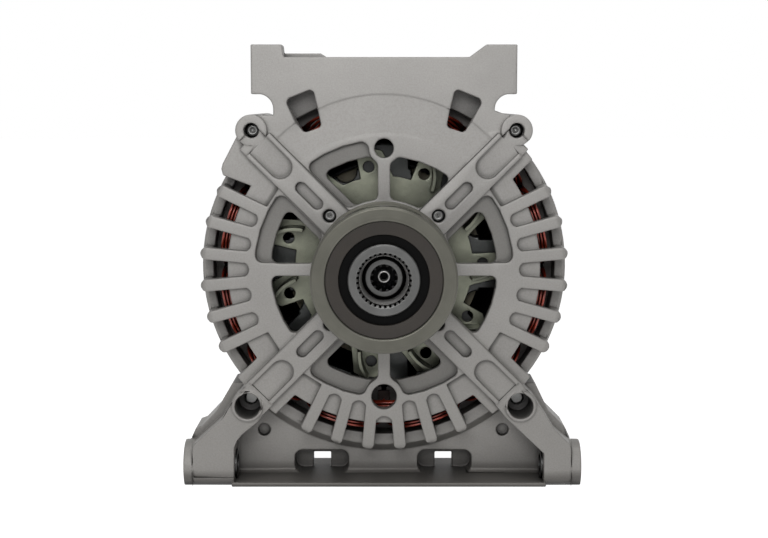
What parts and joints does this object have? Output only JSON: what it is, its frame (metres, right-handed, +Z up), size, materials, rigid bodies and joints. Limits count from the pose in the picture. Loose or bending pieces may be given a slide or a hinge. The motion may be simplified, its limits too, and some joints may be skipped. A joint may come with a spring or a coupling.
{
  "type": "alternator",
  "caption": "Claw pole alternator with finned cast end brackets, transverse bolt lugs and foot, ribbed freewheel belt pulley, brush gear, rectifier and vented rear cover.",
  "frame": {"origin": "on the shaft axis, in the middle of the pulley's belt ribs", "axes": "-Y along the shaft towards the pulley's open end, +Z up away from the foot, +X along the mounting bolts, to the right seen from the pulley"},
  "size_m": [0.165, 0.1695, 0.1816],
  "materials": {
    "cast_aluminium": "bead blasted casting, satin",
    "steel": "turned steel",
    "bearing_steel": "ground steel",
    "seal_rubber": "dark brown moulded seal",
    "zinc_steel": "zinc plated",
    "lamination_steel": "varnished laminations",
    "enamelled_copper": "red enamelled copper wire",
    "black_plastic": "glass filled moulding",
    "heat_sink_aluminium": "pressed plate",
    "diode_metal": "plated case",
    "tinned_brass": "tinned pins",
    "cover_plastic": "moulded, fine grain",
    "copper_stud": "plated stud",
    "pole_paint": "dark varnish over forged steel",
    "bobbin_plastic": "moulded",
    "fan_steel": "pale grey green sheet",
    "slip_ring_copper": "polished copper",
    "hub_steel": "turned, light oil film",
    "pulley_steel": "turned, grey green finish",
    "black_rubber": "moulded lip seal",
    "carbon": "pressed carbon",
    "spring_steel": "bright wire"
  },
  "bodies": {
    "housing": {"front_bracket": "cast_aluminium", "foot_bushes": "steel", "front_bearing_outer_ring": "bearing_steel", "front_bearing_seals": "seal_rubber", "bearing_retainer": "steel", "retainer_screws": "zinc_steel", "stator_core": "lamination_steel", "slot_conductors": "enamelled_copper", "front_winding_head": "enamelled_copper", "rear_winding_head": "enamelled_copper", "rear_bracket": "cast_aluminium", "through_bolts": "zinc_steel", "rear_bearing_outer_ring": "bearing_steel", "rear_bearing_sleeve": "black_plastic", "negative_heat_sink": "heat_sink_aluminium", "negative_diodes": "diode_metal", "positive_heat_sink": "heat_sink_aluminium", "positive_diodes": "diode_metal", "rectifier_board": "black_plastic", "voltage_regulator": "black_plastic", "brush_holder": "black_plastic", "connector_socket": "black_plastic", "connector_pins": "tinned_brass", "rear_cover": "cover_plastic", "cover_nuts": "zinc_steel", "cover_studs": "zinc_steel", "output_stud": "copper_stud", "output_nut": "zinc_steel", "output_insulator": "black_plastic", "outer_brush_spring": "spring_steel", "inner_brush_spring": "spring_steel"},
    "rotor": {"rotor_shaft": "steel", "front_claw_pole": "pole_paint", "rear_claw_pole": "pole_paint", "field_coil": "enamelled_copper", "coil_bobbin": "bobbin_plastic", "front_fan": "fan_steel", "rear_fan": "fan_steel", "slip_rings": "slip_ring_copper", "slip_ring_insulator": "black_plastic", "front_bearing_inner_ring": "bearing_steel", "front_bearing_balls": "bearing_steel", "rear_bearing_inner_ring": "bearing_steel", "rear_bearing_balls": "bearing_steel", "shaft_spacer": "steel", "clutch_hub": "hub_steel"},
    "pulley": {"pulley_ring": "pulley_steel", "front_seal": "seal_rubber", "clutch_seal": "black_rubber", "pulley_rollers": "bearing_steel", "clutch_rollers": "bearing_steel"},
    "outer_brush_body": {"outer_brush": "carbon"},
    "inner_brush_body": {"inner_brush": "carbon"}
  },
  "joints": [
    {"name": "rotor_spin", "type": "hinge", "parent": "housing", "child": "rotor", "pos_m": [0, 0, 0], "axis": [0, -1, 0], "continuous": true},
    {"name": "pulley_freewheel", "type": "hinge", "parent": "rotor", "child": "pulley", "pos_m": [0, 0, 0], "axis": [0, -1, 0], "continuous": true},
    {"name": "outer_brush_slide", "type": "slide", "parent": "housing", "child": "outer_brush_body", "axis": [0, 0, 1], "range_m": [0, 0.005], "stiffness_N_per_m": 150, "springref_m": -0.012, "deforming": ["outer_brush_spring"]},
    {"name": "inner_brush_slide", "type": "slide", "parent": "housing", "child": "inner_brush_body", "axis": [0, 0, 1], "range_m": [0, 0.005], "stiffness_N_per_m": 150, "springref_m": -0.012, "deforming": ["inner_brush_spring"]}
  ]
}
